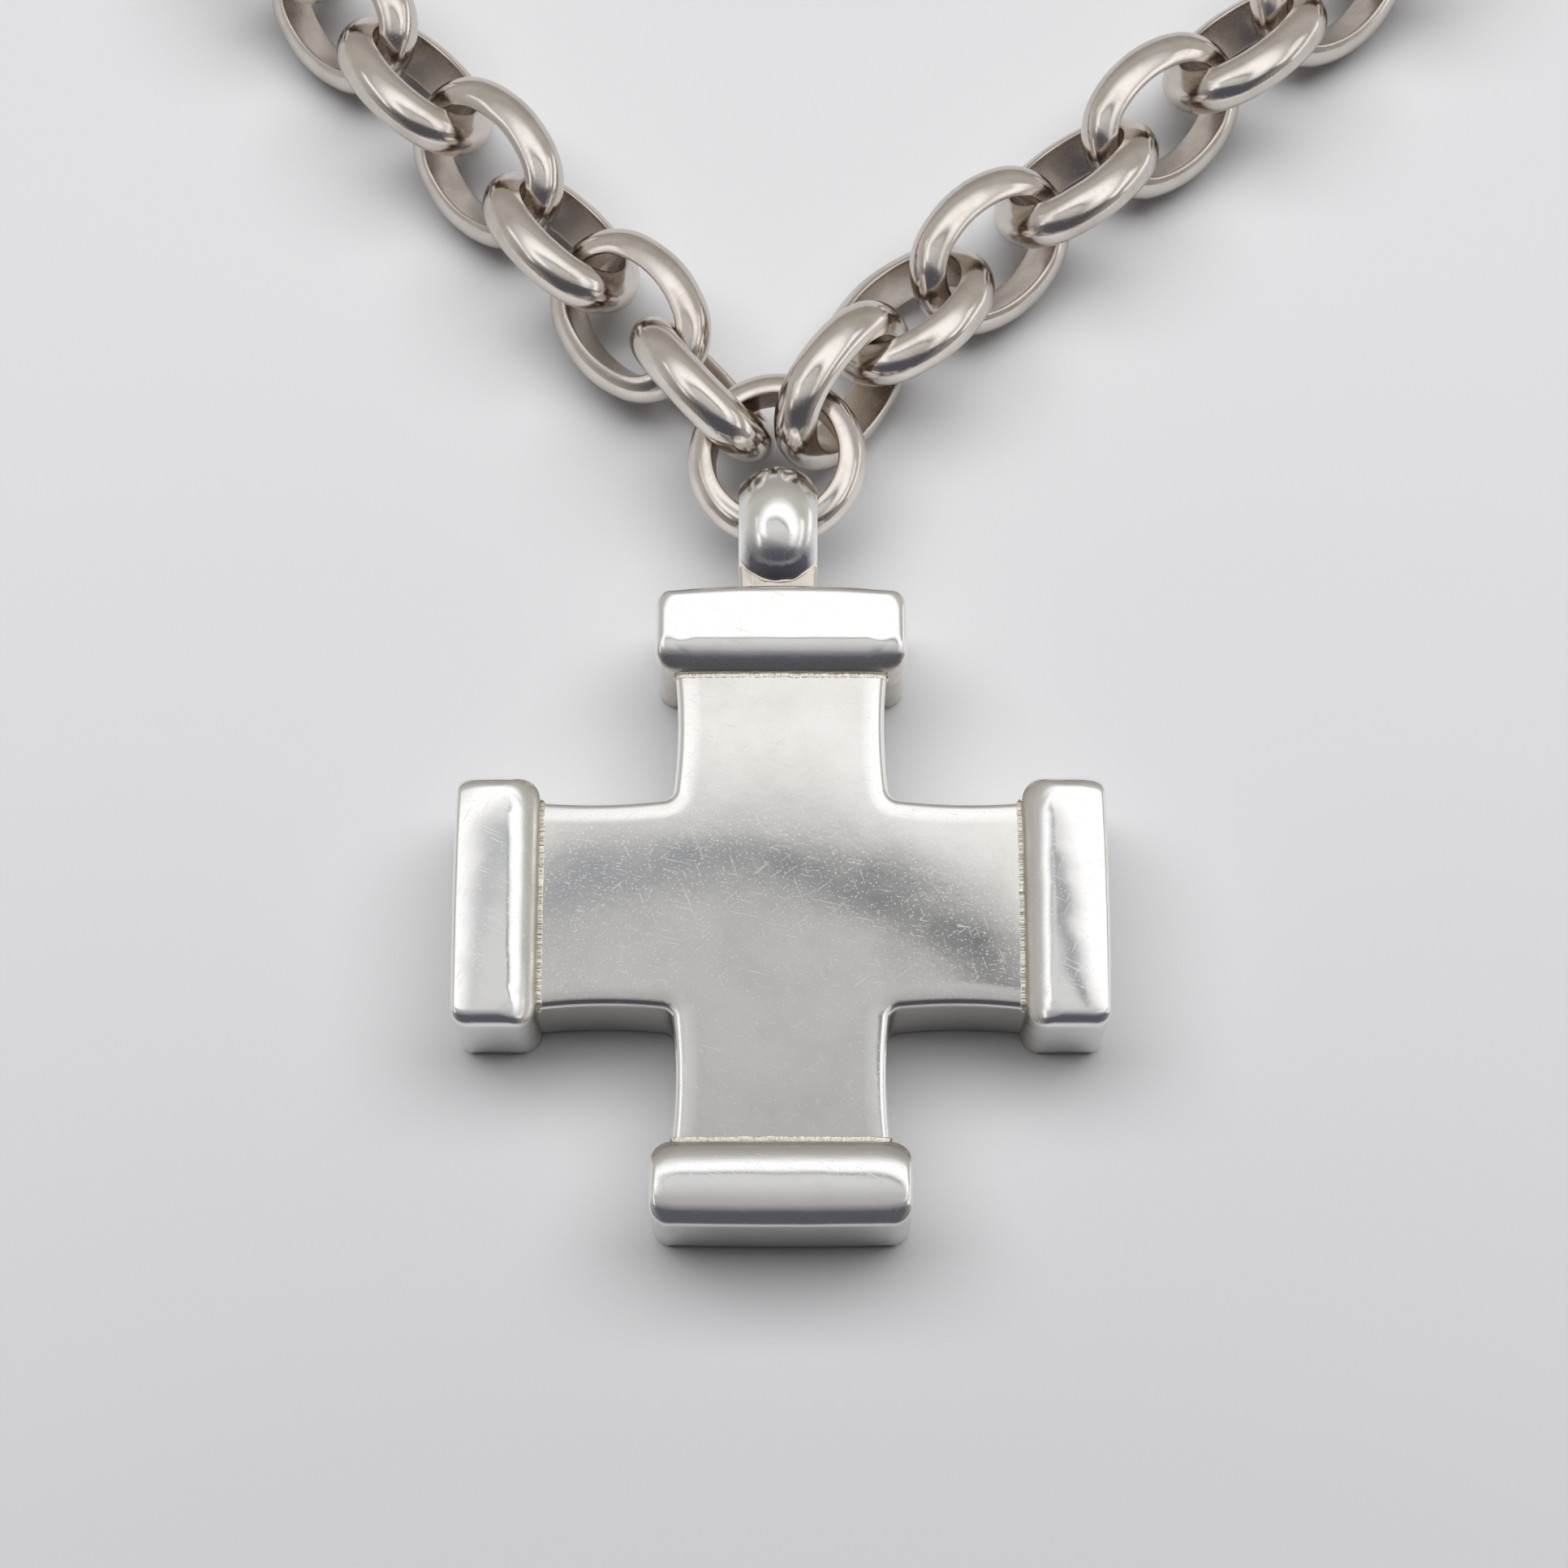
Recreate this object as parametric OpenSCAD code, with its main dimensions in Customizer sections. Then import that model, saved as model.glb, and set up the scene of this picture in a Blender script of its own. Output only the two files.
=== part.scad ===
// Cross pendant on a heavy half-round link chain, laid out flat as a closed loop.
// Millimetres. The origin is under the middle of the cross, on the surface it lies on.
// +Y runs from the cross to its bail, +Z is up. Every piece stands where it lies in the loop.

/* [Cross] */
// Width and height of the cross over its end caps
cross_size = 40; // [38:0.5:42]
// Width of an arm where it meets its cap
arm_width = 13.26; // [12.6:0.1:13.8]
// How far the sides of an arm draw in between the cap and the inner corner
arm_waist = 0.2; // [0.05:0.05:0.3]
// Radius of the four inner corners
corner_radius = 0.75; // [0.4:0.05:1]
// Height of the face beside the caps
face_height = 7.05; // [6.6:0.05:7.4]
// How much the face rises from the caps to the middle
face_crown = 0.55; // [0.3:0.05:0.7]

/* [End caps] */
// Length of a cap across its arm
cap_length = 15.8; // [15.2:0.1:16.4]
// Width of a cap along its arm
cap_width = 5.07; // [4.8:0.05:5.3]
// Height of a cap
cap_height = 8.4; // [8.1:0.05:8.8]
// Radius of the cap's outer top edge
cap_edge_radius = 1.0; // [0.7:0.05:1.2]
// Radius of the top edge at the two ends of a cap
cap_end_radius = 1.2; // [0.8:0.1:1.6]
// Radius of the cap's corners seen from above
cap_corner_radius = 0.8; // [0.5:0.05:1]
// Width of the slope from the cap's top down to the face
cap_slope_width = 1.45; // [1.2:0.05:1.7]
// Drop of that slope
cap_slope_drop = 1.15; // [0.9:0.05:1.25]

/* [Bail] */
// Outer radius of the bail's loop
bail_radius = 4.4; // [4.35:0.05:4.5]
// Width of the bail across the cross
bail_width = 5; // [4.8:0.05:5.1]
// Thickness of the bail's wall at its crown
bail_wall = 1.65; // [1.5:0.05:1.7]
// How far the bail's middle stands out from the cap's outer wall
bail_reach = 5.2; // [5.1:0.05:5.3]
// Sideways offset of the hand-soldered bail
bail_offset = -0.2; // [-0.3:0.05:0]
// Height of the straight flank at the rims of the bail's band
bail_flank = 0.3; // [0.2:0.05:0.4]
// Height of the underside of the neck that joins the bail to the cap
neck_bottom = 1.5; // [1:0.1:2]
// Height of the neck's top
neck_top = 7; // [6.7:0.1:7.1]
// How far the neck runs into the bail's wall
neck_overlap = 1.1; // [1:0.05:1.2]

/* [Connector ring] */
// Outer diameter of the ring
ring_diameter = 11.6; // [11.5:0.05:11.7]
// Width of the ring's bar along its axis
ring_bar_width = 2.8; // [2.7:0.05:2.85]
// Thickness of the ring's bar
ring_bar_wall = 1.75; // [1.7:0.05:1.8]

/* [Chain link] */
// Length of a link outside
link_length = 12.3; // [12.25:0.05:12.35]
// Width of a link outside
link_width = 10; // [9.9:0.05:10.05]
// Width of a link's half-round bar along the link's axis
link_bar_width = 3.1; // [3:0.05:3.15]
// Thickness of a link's bar
link_bar_wall = 1.75; // [1.7:0.05:1.75]
// Radius of the link's two ends outside
link_end_radius = 4.7; // [4.65:0.05:4.75]

/* [Chain] */
// Links on each side of the cross
links_per_side = 28; // [26:1:28]
// Links on each side that are pieces of their own
own_links = 20; // [18:1:20]
// Distance between the middles of neighbouring links
link_pitch = 7.6; // [7.5:0.05:7.6]
// Links on each side before the chain bends round the neck
straight_links = 9; // [8:1:9]
// Distance between the middles where the chain bends
bend_pitch = 7.45; // [7.4:0.05:7.5]
// The same where the links of a run touch each other
run_pitch = 7.95; // [7.9:0.05:8]
// Height of the chain's middle above the surface
chain_height = 4.2; // [4.15:0.05:4.4]
// Direction of the left side, turned from +Y towards +X
left_heading = -41; // [-42:0.5:-40]
// Direction of the right side, turned from +Y towards +X
right_heading = 49.5; // [48.5:0.5:50.5]

/* [Clasp] */
// Diameter of the clasp's barrel
barrel_diameter = 6.4; // [5.8:0.1:6.8]
// Length of the barrel between its domed ends
barrel_length = 8; // [7:0.5:8]
// Middle radius of the clasp's two eyes
eye_radius = 3.4; // [3.35:0.05:3.45]
// Diameter of the eyes' round wire
eye_wire = 1.8; // [1.6:0.1:1.8]
// How far the eye's ring stands out from the flat end of the barrel
eye_stand = 0.8; // [0.7:0.05:0.9]
// How far the barrel's ends are domed
dome_height = 1.2; // [1:0.1:1.4]
// Slack between an eye and the link that it holds
clasp_slack = 0.5; // [0.45:0.05:0.6]

/* [Hidden] */
$fn = 48;
fine = 360;
eps = 0.01;
over = 1;
edge_break = 0.1;

// Where the connector ring lies: middle, heading, tilt along the heading, roll
RING_PLACE = [[-0.27, 30.3, 4.66], 0, 4, -4.2];

// The three links next to the ring on each side, where the chain turns onto its edge:
// middle, heading, tilt along the heading, roll
NEAR_LEFT = [
    [[-5.13, 35.15, 4.83], -40, -2.15, 68.5],
    [[-9.88, 40.6, 4.31], -39.8, -1, -31.9],
    [[-14.5, 46, 4.2], -41, 0, 46],
];
NEAR_RIGHT = [
    [[4, 35.4, 4.88], 37.2, -2, 69.8],
    [[8.42, 40.7, 4.25], 48, 0, -33.6],
    [[13.75, 45.35, 4.2], 47.6, 0, 45],
];
near_links = len(NEAR_LEFT);
link_roll = 45;

// Links joined into runs past the links of their own: first and last number
run_links = 4;
RUNS = [[own_links + 1, own_links + run_links], [own_links + run_links + 1, links_per_side]];

face_radius = cross_size / 2 - cap_width;
face_sphere = (face_radius * face_radius + face_crown * face_crown) / (2 * face_crown);
bail_y = cross_size / 2 + bail_reach;
bail_z = bail_radius;

// Radius of the long sides of a four-centre oval with half axes a and b and end radius r
function side_radius(a, b, r) = ((a - r) * (a - r) + b * b - r * r) / (2 * (b - r));

// The links lie on their edges, every second one rolled the other way
function roll_of(k) = k % 2 == 1 ? link_roll : -link_roll;

function two_digits(i) = i < 10 ? str("0", i) : str(i);

// Length of the way from link 3 to link k on one side
function way_to(k) = k <= near_links ? 0 : way_to(k - 1) + pitch_before(k);
function pitch_before(k) = in_one_run(k) ? run_pitch : k > straight_links ? bend_pitch : link_pitch;
function in_one_run(k) = len([for (r = RUNS) if (k > r[0] && k <= r[1]) r]) > 0;

// The loop is a teardrop: two straight sides that meet at the apex, closed by one arc
half_angle = (right_heading - left_heading) / 2;
function direction(h) = [sin(h), cos(h)];
function side_of(h) = [cos(h), -sin(h)];
function flat(p) = [p[0], p[1]];
left_start = flat(NEAR_LEFT[near_links - 1][0]);
right_start = flat(NEAR_RIGHT[near_links - 1][0]);
left_back = ((right_start - left_start) * side_of(right_heading)) / sin(2 * half_angle);
apex = left_start - direction(left_heading) * abs(left_back);
left_lead = norm(left_start - apex);
right_lead = norm(right_start - apex);
clasp_eye = barrel_length / 2 + eye_radius + eye_stand;
eye_inside = eye_radius - eye_wire / 2;
eye_seat = sqrt(eye_inside * eye_inside - link_bar_width * link_bar_width / 4);
clasp_span = 2 * (clasp_eye + eye_seat + link_length / 2 - link_bar_wall - clasp_slack);
loop_length = left_lead + right_lead + 2 * way_to(links_per_side) + clasp_span;
arc_turn = 180 + 2 * half_angle;
loop_radius = loop_length / (2 / tan(half_angle) + arc_turn * PI / 180);
tangent_length = loop_radius / tan(half_angle);
arc_centre = apex + direction(left_heading) * tangent_length + side_of(left_heading) * loop_radius;

// Point and heading at a distance along the loop, counted from the apex up the left side
function on_loop(d) =
    d < tangent_length ? [apex + direction(left_heading) * d, left_heading] :
    d > loop_length - tangent_length ?
        [apex + direction(right_heading) * (loop_length - d), right_heading + 180] :
    let (h = left_heading + (d - tangent_length) / loop_radius * 180 / PI)
        [arc_centre - side_of(h) * loop_radius, h];

// Middle, heading, tilt and roll of link k on one side, seen looking away from the cross
function link_place(side, k) =
    let (near = side == "l" ? NEAR_LEFT : NEAR_RIGHT)
    let (d = side == "l" ? left_lead + way_to(k) : loop_length - right_lead - way_to(k))
    let (p = on_loop(d))
        k <= near_links ? near[k - 1] :
        [[p[0][0], p[0][1], chain_height], p[1] + (side == "l" ? 0 : 180), 0, roll_of(k)];

LINK_NUMBERS = [1:own_links];
RUN_NUMBERS = [1:len(RUNS)];

silver = "silver";
warm_silver = "#c9c4ba";

// Carries a piece drawn along +Y with its axis along Z to its place in the loop
module placed(place) {
    translate(place[0]) rotate([0, 0, -place[1]]) rotate([place[2], 0, 0]) rotate([0, place[3], 0])
        children();
}

// Half-round section with its domed crown at x = 0 and its flat at x = -wall
module half_round(wall, width, dome) {
    dome_radius = (dome * dome + width * width / 4) / (2 * dome);
    intersection() {
        translate([-dome_radius, 0]) circle(r = dome_radius);
        translate([-dome, -width / 2]) square([dome + eps, width]);
    }
    translate([-wall, -width / 2]) square([wall - dome, width]);
}

// One arc of a half-round bar: the crown runs at the given radius
module bar_arc(centre, radius, from, to, wall, width, dome) {
    translate(centre) rotate([0, 0, from]) rotate_extrude(angle = to - from)
        translate([radius, 0]) half_round(wall, width, dome);
}

// Half-round link lying flat, its long axis along +Y
module oval_link() {
    a = link_length / 2;
    b = link_width / 2;
    r = link_end_radius;
    long_r = side_radius(a, b, r);
    lim = atan2(long_r - b, a - r);
    dome = link_bar_width / 2;
    for (turn = [0, 180]) rotate([0, 0, turn]) {
        bar_arc([0, a - r, 0], r, 90 - lim, 90 + lim, link_bar_wall, link_bar_width, dome);
        bar_arc([b - long_r, 0, 0], long_r, lim - 90, 90 - lim, link_bar_wall, link_bar_width, dome);
    }
}

// Outline of the plate: crossed arms with drawn-in sides and filleted inner corners
module plate_outline() {
    half = arm_width / 2;
    reach = face_radius + over;
    chord = face_radius - half - corner_radius;
    waist_radius = (chord * chord / 4 + arm_waist * arm_waist) / (2 * arm_waist);
    difference() {
        union() {
            square([2 * reach, arm_width], center = true);
            square([arm_width, 2 * reach], center = true);
            for (turn = [0:90:270]) rotate(turn) translate([half - eps, half - eps])
                difference() {
                    square(corner_radius + eps);
                    translate([corner_radius + eps, corner_radius + eps]) circle(r = corner_radius);
                }
        }
        for (turn = [0:90:270]) rotate(turn) for (side = [-1, 1]) intersection() {
            translate([side * (half + waist_radius - arm_waist), half + corner_radius + chord / 2])
                circle(r = waist_radius, $fn = fine);
            translate([side * half, half + corner_radius + chord / 2]) square([over, chord], center = true);
        }
    }
}

module plate() {
    intersection() {
        linear_extrude(height = face_height + face_crown) plate_outline();
        translate([0, 0, face_height + face_crown - face_sphere]) sphere(r = face_sphere, $fn = fine);
    }
}

// Section of a cap: x runs outwards from the cap's inner wall, y is the height
module cap_section() {
    r = cap_edge_radius;
    polygon([
        [0, 0], [cap_width, 0], [cap_width, cap_height - r],
        for (t = [15:15:75]) [cap_width - r + r * cos(t), cap_height - r + r * sin(t)],
        [cap_width - r, cap_height], [cap_slope_width + 3 * edge_break, cap_height],
        [cap_slope_width, cap_height - edge_break], [edge_break, cap_height - cap_slope_drop],
        [0, cap_height - cap_slope_drop - edge_break]
    ]);
}

// Rectangle whose two upper corners are rounded
module round_topped(length, height, r) {
    translate([-length / 2, 0]) square([length, height - r]);
    translate([-length / 2 + r, 0]) square([length - 2 * r, height]);
    for (side = [-1, 1]) translate([side * (length / 2 - r), height - r]) circle(r = r);
}

module round_cornered(length, width, r) {
    square([length - 2 * r, width], center = true);
    square([length, width - 2 * r], center = true);
    for (x = [-1, 1]) for (y = [-1, 1])
        translate([x * (length / 2 - r), y * (width / 2 - r)]) circle(r = r);
}

// Cap of the +Y arm
module end_cap() {
    intersection() {
        translate([-cap_length / 2, face_radius, 0]) rotate([90, 0, 90])
            linear_extrude(height = cap_length) cap_section();
        translate([0, cross_size / 2 + over, 0]) rotate([90, 0, 0])
            linear_extrude(height = cap_width + 2 * over)
                round_topped(cap_length, cap_height, cap_end_radius);
        translate([0, face_radius + cap_width / 2, 0])
            linear_extrude(height = cap_height + over)
                round_cornered(cap_length, cap_width, cap_corner_radius);
    }
}

// Half-round band whose axis runs along X, and the neck that joins it to the top cap
module bail() {
    translate([bail_offset, bail_y, bail_z]) rotate([0, 90, 0]) rotate_extrude()
        translate([bail_radius, 0]) half_round(bail_wall, bail_width, bail_wall - bail_flank);
    neck_from = cross_size / 2 - over;
    neck_to = bail_y - bail_radius + neck_overlap;
    translate([bail_offset - bail_width / 2, neck_from, neck_bottom])
        cube([bail_width, neck_to - neck_from, neck_top - neck_bottom]);
}

module cross_pendant() {
    color(silver) union() {
        plate();
        for (turn = [0:90:270]) rotate([0, 0, turn]) end_cap();
        bail();
    }
}

module connector_ring() {
    color(warm_silver) placed(RING_PLACE) rotate_extrude()
        translate([ring_diameter / 2, 0]) half_round(ring_bar_wall, ring_bar_width, ring_bar_width / 2);
}

module chain_link(side, k) {
    color(warm_silver) placed(link_place(side, k)) oval_link();
}

module chain_run(side, run) {
    color(warm_silver) union() {
        for (k = [RUNS[run - 1][0]:RUNS[run - 1][1]]) placed(link_place(side, k)) oval_link();
    }
}

// Plain barrel with a fixed eye at each end, its length along +Y
module clasp() {
    middle = on_loop(left_lead + way_to(links_per_side) + clasp_span / 2);
    color(silver) placed([[middle[0][0], middle[0][1], chain_height], middle[1], 0, 0]) {
        rotate([90, 0, 0]) cylinder(d = barrel_diameter, h = barrel_length, center = true);
        for (end = [-1, 1]) {
            intersection() {
                translate([0, end * barrel_length / 2, 0]) sphere(d = barrel_diameter);
                translate([0, end * (barrel_length + dome_height) / 2, 0])
                    cube([barrel_diameter, dome_height, barrel_diameter], center = true);
            }
            translate([0, end * clasp_eye, 0]) rotate([0, end * roll_of(links_per_side), 0])
                rotate_extrude() translate([eye_radius, 0]) circle(d = eye_wire);
        }
    }
}

cross_pendant();
connector_ring();
for (side = ["l", "r"]) {
    for (i = LINK_NUMBERS)
        chain_link(side, i);
    for (i = RUN_NUMBERS)
        chain_run(side, i);
}
clasp();
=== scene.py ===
import math

import bmesh
import bpy
import numpy as np
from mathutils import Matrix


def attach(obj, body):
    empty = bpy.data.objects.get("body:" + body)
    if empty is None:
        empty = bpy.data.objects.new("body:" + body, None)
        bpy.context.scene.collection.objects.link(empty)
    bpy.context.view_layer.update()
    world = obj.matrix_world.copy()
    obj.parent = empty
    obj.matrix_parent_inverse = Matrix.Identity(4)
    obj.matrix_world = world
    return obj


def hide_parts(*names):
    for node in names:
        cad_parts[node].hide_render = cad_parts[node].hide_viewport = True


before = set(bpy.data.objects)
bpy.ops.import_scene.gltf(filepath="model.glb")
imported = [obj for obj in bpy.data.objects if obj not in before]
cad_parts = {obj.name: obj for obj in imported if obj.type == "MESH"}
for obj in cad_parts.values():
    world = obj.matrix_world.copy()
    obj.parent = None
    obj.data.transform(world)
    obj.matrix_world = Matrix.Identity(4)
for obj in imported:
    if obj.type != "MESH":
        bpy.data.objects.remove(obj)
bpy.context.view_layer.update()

mm = 0.001
print("frame loaded:", len(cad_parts), "nodes")


# sRGB hex to linear colour
def hexToLinear(code):
    values = [int(code[i:i + 2], 16) / 255 for i in (0, 2, 4)]
    linear = [v / 12.92 if v <= 0.04045 else ((v + 0.055) / 1.055) ** 2.4 for v in values]
    return (*linear, 1.0)


# Switches on the nodes of a material or a world, and gives its emptied tree
def emptyTree(owner):
    owner.use_nodes = True
    owner.node_tree.nodes.clear()
    return owner.node_tree


# Adds a shader node: settings are its properties, inputs its values or the nodes and sockets that feed it,
# by their names or from the top down, and stops a colour ramp's places with their levels
def addNode(tree, kind, inputs=(), stops=None, **settings):
    node = tree.nodes.new("ShaderNode" + kind)
    for key, value in settings.items():
        setattr(node, key, value)
    for key, value in inputs.items() if isinstance(inputs, dict) else enumerate(inputs):
        if isinstance(value, bpy.types.Node):
            value = value.outputs[0]
        if isinstance(value, bpy.types.NodeSocket):
            tree.links.new(value, node.inputs[key])
        else:
            node.inputs[key].default_value = value
    if stops:
        ramp = node.color_ramp
        while len(ramp.elements) < len(stops):
            ramp.elements.new(0.5)
        for element, (place, level) in zip(ramp.elements, stops):
            element.position = place
            element.color = level if isinstance(level, tuple) else (level, level, level, 1)
    return node


# Surface helpers: grids of points in millimetres become meshes in metres

# Quads between neighbouring rows and columns of a grid, closed on itself where asked
def gridFaces(rows, cols, closeRows=False, closeCols=False, start=0):
    i, j = np.meshgrid(np.arange(rows if closeRows else rows - 1),
                       np.arange(cols if closeCols else cols - 1), indexing="ij")
    down, right = (i + 1) % rows, (j + 1) % cols
    quads = np.stack([i * cols + j, down * cols + j, down * cols + right, i * cols + right], -1)
    return quads.reshape(-1, 4) + start


# Unit normals of a grid closed both ways: cross product of the differences along its rows and its columns
def gridNormals(points):
    along, across = (np.roll(points, -1, axis) - np.roll(points, 1, axis) for axis in (0, 1))
    normal = np.cross(along, across)
    return normal / np.maximum(np.linalg.norm(normal, axis=-1, keepdims=True), 1e-9)


# Smooth unevenness: a sum of eight waves with random directions and phases, about `size` long
def unevenness(points, seed, size):
    rng = np.random.default_rng(seed)
    total = np.zeros(points.shape[:-1])
    for _ in range(8):
        direction = rng.normal(size=3)
        direction *= 2 * math.pi / (size * rng.uniform(0.7, 1.6)) / np.linalg.norm(direction)
        total += np.sin(points @ direction + rng.uniform(0, 2 * math.pi))
    return total / 4


# Mesh object from points in millimetres, its doubles merged, its holes filled and its faces turned outwards.
# Each measure, such as shelter, is a value a point that a material reads
def newPiece(name, points, faces, material, smoothAngle, **measures):
    mesh = bpy.data.meshes.new(name)
    mesh.from_pydata((np.asarray(points) * mm).tolist(), [], np.asarray(faces).tolist())
    for measure, values in measures.items():
        layer = mesh.attributes.new(measure, "FLOAT", "POINT")
        layer.data.foreach_set("value", np.asarray(values, float).ravel())
    work = bmesh.new()
    work.from_mesh(mesh)
    bmesh.ops.remove_doubles(work, verts=work.verts, dist=1e-7)
    bmesh.ops.dissolve_degenerate(work, edges=work.edges, dist=1e-8)
    rim = [e for e in work.edges if e.is_boundary]
    if rim:
        bmesh.ops.holes_fill(work, edges=rim, sides=0)
    bmesh.ops.recalc_face_normals(work, faces=work.faces)
    work.to_mesh(mesh)
    work.free()
    mesh.materials.append(material)
    piece = bpy.data.objects.new(name, mesh)
    bpy.context.collection.objects.link(piece)
    mesh.shade_smooth()
    mesh.set_sharp_from_angle(angle=math.radians(smoothAngle))
    return piece


# Puts a piece on the root body, in place of its CAD node
def finishPiece(piece, node):
    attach(piece, "root")
    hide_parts(node)


# Turns local points by roll about Y, tilt about X and heading about Z, and carries them to their middle
def placed(points, place):
    middle, heading, tilt, roll = place
    h, t, r = np.radians([-heading, tilt, roll])
    turnZ = np.array([[np.cos(h), -np.sin(h), 0], [np.sin(h), np.cos(h), 0], [0, 0, 1]])
    turnX = np.array([[1, 0, 0], [0, np.cos(t), -np.sin(t)], [0, np.sin(t), np.cos(t)]])
    turnY = np.array([[np.cos(r), 0, np.sin(r)], [0, 1, 0], [-np.sin(r), 0, np.cos(r)]])
    return points @ (turnZ @ turnX @ turnY).T + np.array(middle)


# Matrix that turns points about Z by a number of quarter turns
def quarterTurn(turns):
    c, s = round(math.cos(turns * math.pi / 2)), round(math.sin(turns * math.pi / 2))
    return np.array([[c, s, 0], [-s, c, 0], [0, 0, 1]])


# Materials

# What the silver finishes share
wear = {
    "scratchEdge": 0.05,          # how softly a scratch begins
    "bareMetal": 0.5,             # how much of it shows in a scratch
    "rubbedRoughness": 0.08,
    "tarnishRoughness": 0.25,     # added where the surface is sheltered
}


# Silver: a mirror with hairline scratches in several directions, shallow unevenness from hand polishing
# and patches of light tarnish. What a finish changes is in its dictionary, with sizes in millimetres
def silver(name, look):
    material = bpy.data.materials.new(name)
    tree = emptyTree(material)
    objectPlace = addNode(tree, "TexCoord").outputs["Object"]
    place = addNode(tree, "VectorMath", {0: objectPlace, "Scale": 1000.0}, operation="SCALE")   # millimetres
    lines = None
    for number, (angle, length, width, cut) in enumerate(look["scratches"]):
        # a scratch direction: noise stretched along the scratch, cut to its crests
        shift = 7.3 * (number + 1)
        turned = addNode(tree, "Mapping", {"Vector": place, "Location": (shift, shift * 1.7, 0),
                                           "Rotation": (0, 0, math.radians(angle))})
        drawn = addNode(tree, "VectorMath", [turned, (1 / length, 1 / width, 1 / width)], operation="MULTIPLY")
        layer = addNode(tree, "TexNoise", {"Vector": drawn, "Scale": 1.0, "Detail": 0.0})
        crest = addNode(tree, "ValToRGB", {"Fac": layer}, stops=[(cut, 0.0), (cut + wear["scratchEdge"], 1.0)])
        lines = crest if lines is None else addNode(tree, "Math", [lines, crest], operation="MAXIMUM")
    dimples = addNode(tree, "TexNoise", {"Vector": place, "Scale": 1 / look["dimpleSize"], "Detail": 2.0})
    grain = addNode(tree, "TexNoise", {"Vector": place, "Scale": 1 / look["grainSize"], "Detail": 3.0,
                                       "Roughness": 0.6})
    height = addNode(tree, "Math", [dimples, look["dimpleDepth"]], operation="MULTIPLY")
    height = addNode(tree, "Math", [grain, look["grainDepth"], height], operation="MULTIPLY_ADD")
    height = addNode(tree, "Math", [lines, -look["scratchDepth"], height], operation="MULTIPLY_ADD")
    bump = addNode(tree, "Bump", {"Strength": 1.0, "Distance": mm, "Height": height})
    patches = addNode(tree, "TexNoise", {"Vector": place, "Scale": 1 / look["patchSize"], "Detail": 4.0,
                                         "Roughness": 0.6})
    amount = addNode(tree, "ValToRGB", {"Fac": patches},
                     stops=[(look["stainFrom"], 0.0), (look["stainTo"], look["stainMost"])])
    sheltered = None
    if look.get("sheltered"):
        # tarnish gathers where the surface is sheltered from rubbing; on the bail, its dark patch is partly a
        # painted dark reflection
        shelter = addNode(tree, "Attribute", attribute_name="shelter").outputs["Fac"]
        patchy = addNode(tree, "MapRange", [patches, 0.3, 0.6, 0.6 * look["sheltered"], look["sheltered"]])
        sheltered = addNode(tree, "Math", [shelter, patchy], operation="MULTIPLY")
        amount = addNode(tree, "Math", [amount, sheltered], operation="MAXIMUM")
    colour = addNode(tree, "Mix", {0: amount, 6: hexToLinear(look["colour"]), 7: hexToLinear(look["stainColour"])},
                     data_type="RGBA")
    rough = addNode(tree, "MapRange", [patches, 0.35, 0.7, *look["roughness"]])
    if look.get("rubbed"):
        # edges rubbed bright and smooth by wear, partly a painted highlight on the rims, and bare bright metal in
        # the scratches
        rubbed = addNode(tree, "Attribute", attribute_name="rubbed").outputs["Fac"]
        bare = addNode(tree, "Math", [lines, wear["bareMetal"]], operation="MULTIPLY")
        rubbed = addNode(tree, "Math", [rubbed, bare], operation="MAXIMUM")
        colour = addNode(tree, "Mix", {0: rubbed, 6: colour.outputs[2], 7: hexToLinear(look["rubbed"])},
                         data_type="RGBA")
        rough = addNode(tree, "Mix", {0: rubbed, 2: rough, 3: wear["rubbedRoughness"]}, data_type="FLOAT")
    rough = addNode(tree, "Math", [lines, look["scratchRoughness"], rough], operation="MULTIPLY_ADD")
    if sheltered:
        rough = addNode(tree, "Math", [sheltered, wear["tarnishRoughness"], rough], operation="MULTIPLY_ADD")
    shader = addNode(tree, "BsdfPrincipled", {"Metallic": 1.0, "Base Color": colour.outputs[2], "Roughness": rough,
                                              "Normal": bump})
    addNode(tree, "OutputMaterial", {"Surface": shader})
    return material


# A finish's scratches are rows of direction, length, width and cut: the higher the cut, the fewer they are

# Polished sterling silver of the caps and the clasp: clear reflections with a few hairlines
capSilver = silver("polishedSilverCaps", {
    "colour": "F8F7F5", "stainColour": "BFB8AC", "patchSize": 3.0, "sheltered": 0.9,
    "stainFrom": 0.52, "stainTo": 0.9, "stainMost": 0.25, "roughness": (0.12, 0.17),
    "scratches": [(25, 3, 0.07, 0.76), (-65, 2.5, 0.07, 0.77), (0, 0.14, 0.12, 0.75)],
    "dimpleSize": 2.5, "dimpleDepth": 0.010, "grainSize": 0.3, "grainDepth": 0.0010,
    "scratchDepth": 0.002, "scratchRoughness": 0.08})

# The bail's silver is the caps', with a dark patch low over the neck, partly tarnish and partly a painted dark
# reflection
bailSilver = silver("polishedSilverBail", {
    "colour": "FAF9F6", "stainColour": "73737F", "patchSize": 0.9, "sheltered": 1.25,
    "stainFrom": 0.6, "stainTo": 0.95, "stainMost": 0.1, "roughness": (0.14, 0.2),
    "scratches": [(25, 3, 0.06, 0.77), (0, 0.12, 0.1, 0.75)],
    "dimpleSize": 1.6, "dimpleDepth": 0.008, "grainSize": 0.25, "grainDepth": 0.0012,
    "scratchDepth": 0.002, "scratchRoughness": 0.08})
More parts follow.
